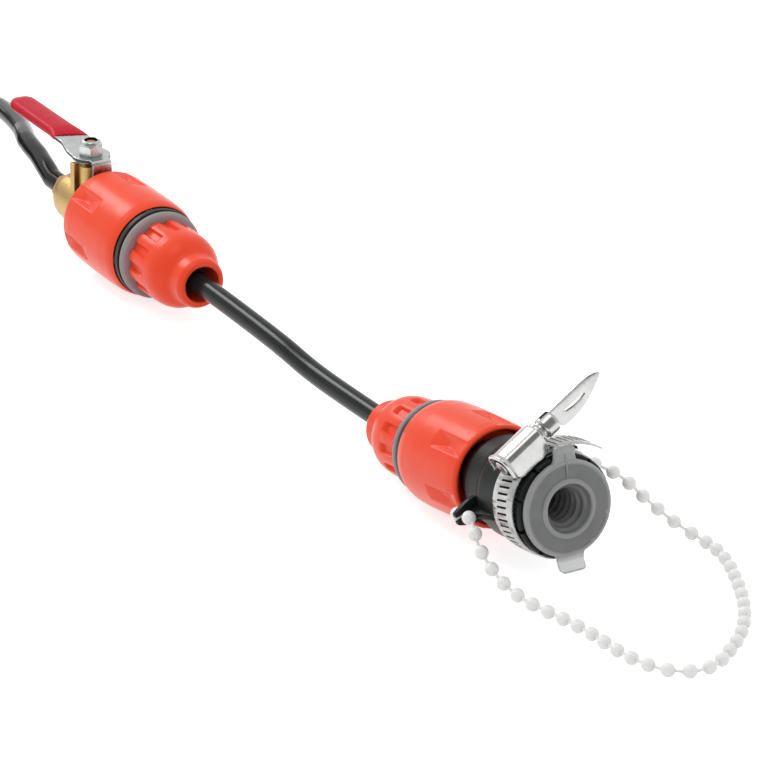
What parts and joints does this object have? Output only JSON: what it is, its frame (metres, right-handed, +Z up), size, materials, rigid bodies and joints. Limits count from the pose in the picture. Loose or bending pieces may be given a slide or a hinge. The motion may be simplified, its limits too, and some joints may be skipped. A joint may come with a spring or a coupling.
{
  "type": "flushing hose kit",
  "caption": "Tap-fed flushing hose kit: universal tap connector with clamp and bead chain, quick connectors, short hose, small ball valve and a coiled long hose.",
  "frame": {"origin": "centre of the kit's box on the surface it lies on, measured without the long hose, its coil, ties and nozzle, and the bead chain", "axes": "+X along the kit from the valve towards the tap connector, +Z up, +Y to the side that the long hose leaves towards"},
  "size_m": [0.6941, 0.1568, 0.0695],
  "materials": {
    "orange_abs": "moulded, satin gloss",
    "grey_rubber": "moulded, satin",
    "dark_acetal": "moulded",
    "black_abs": "moulded, satin gloss",
    "black_pvc": "extruded, glossy",
    "soft_grey_tpe": "soft, translucent",
    "brass": "cast and machined",
    "stainless_steel": "pressed and rolled",
    "zinc_plated_steel": "zinc plated",
    "red_vinyl": "dipped",
    "white_polystyrene": "moulded beads on a thread",
    "nitrile_rubber": "moulded",
    "ptfe": "machined",
    "black_nylon_strap": "woven"
  },
  "bodies": {
    "hose_line": {"connector_core_valve": "dark_acetal", "stop_ring_valve": "grey_rubber", "locking_claw_valvea": "stainless_steel", "locking_claw_valveb": "stainless_steel", "sleeve_spring_valve": "stainless_steel", "hose_collet_valve": "dark_acetal", "short_hose": "black_pvc", "hose_collet_tap": "dark_acetal", "connector_core_tap": "dark_acetal", "stop_ring_tap": "grey_rubber", "locking_claw_tapa": "stainless_steel", "locking_claw_tapb": "stainless_steel", "sleeve_spring_tap": "stainless_steel", "valve_nipple": "black_abs", "valve_nipple_seal": "nitrile_rubber", "valve_body": "brass", "valve_tail": "brass", "ball_seat_inlet": "ptfe", "ball_seat_outlet": "ptfe", "stem_packing": "ptfe", "packing_nut": "brass", "long_hose": "black_pvc", "long_hose_coil": "black_pvc", "hose_tie_1": "black_nylon_strap", "hose_tie_2": "black_nylon_strap", "jet_nozzle": "brass"},
    "sleeve_valve": {"grip_sleeve_valve": "orange_abs"},
    "nut_valve": {"hose_nut_valve": "orange_abs"},
    "sleeve_tap": {"grip_sleeve_tap": "orange_abs"},
    "nut_tap": {"hose_nut_tap": "orange_abs"},
    "lever": {"lever_plate": "zinc_plated_steel", "lever_grip": "red_vinyl", "lever_nut": "zinc_plated_steel", "valve_stem": "brass", "valve_ball": "stainless_steel"},
    "tap_head": {"tap_body": "black_abs", "tap_nipple_seal": "nitrile_rubber", "tap_insert": "soft_grey_tpe", "clamp_band": "stainless_steel", "clamp_housing": "stainless_steel", "safety_chain": "white_polystyrene"},
    "screw": {"clamp_screw": "stainless_steel", "clamp_wing": "stainless_steel"}
  },
  "joints": [
    {"name": "lever_turn", "type": "hinge", "parent": "hose_line", "child": "lever", "pos_m": [-0.14886, 0.0017, 0.02023], "axis": [0.0175, 0, 0.9998], "range_deg": [0, 90]},
    {"name": "sleeve_valve_pull", "type": "slide", "parent": "hose_line", "child": "sleeve_valve", "axis": [0.9998, 0, -0.0175], "range_m": [0, 0.0026], "stiffness_N_per_m": 400, "springref_m": -0.004},
    {"name": "sleeve_tap_pull", "type": "slide", "parent": "hose_line", "child": "sleeve_tap", "axis": [-0.9925, 0, -0.1219], "range_m": [0, 0.0026], "stiffness_N_per_m": 400, "springref_m": -0.004},
    {"name": "nut_valve_turn", "type": "hinge", "parent": "hose_line", "child": "nut_valve", "pos_m": [-0.07437, 0.0017, 0.01893], "axis": [-0.9998, 0, 0.0175], "range_deg": [0, 900]},
    {"name": "nut_tap_turn", "type": "hinge", "parent": "hose_line", "child": "nut_tap", "pos_m": [0.09976, 0, 0.01601], "axis": [0.9925, 0, 0.1219], "range_deg": [0, 900]},
    {"name": "tap_swivel", "type": "hinge", "parent": "hose_line", "child": "tap_head", "pos_m": [0.17718, 0, 0.02552], "axis": [0.9925, 0, 0.1219], "continuous": true},
    {"name": "clamp_screw_turn", "type": "hinge", "parent": "tap_head", "child": "screw", "pos_m": [0.19362, -0.01217, 0.04755], "axis": [-0.0637, 0.8526, 0.5186], "continuous": true}
  ]
}
